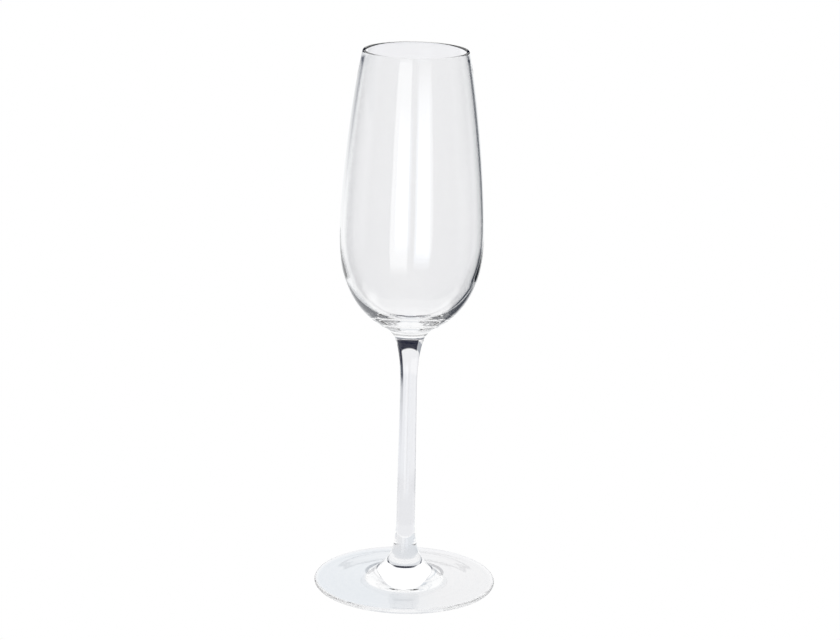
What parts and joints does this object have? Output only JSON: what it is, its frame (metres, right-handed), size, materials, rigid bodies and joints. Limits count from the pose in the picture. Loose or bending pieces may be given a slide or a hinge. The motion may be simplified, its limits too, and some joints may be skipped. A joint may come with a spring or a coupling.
{
  "type": "champagne flute",
  "caption": "Tall clear glass flute with a slender egg-shaped bowl, a thin drawn stem and a round conical foot, for sparkling drinks.",
  "frame": {"origin": "centre of the plane that the foot rests on", "axes": "+Z along the glass's axis of revolution, from the foot to the lip; the glass is round, so X and Y are free"},
  "size_m": [0.0746, 0.0746, 0.2225],
  "materials": {
    "bowl_glass": "blown clear glass with a flame-polished lip",
    "stem_glass": "drawn clear glass with faint lengthwise lines",
    "foot_glass": "spun clear glass with faint turned rings"
  },
  "bodies": {
    "root": {"bowl": "bowl_glass", "stem": "stem_glass", "foot": "foot_glass"}
  },
  "joints": []
}
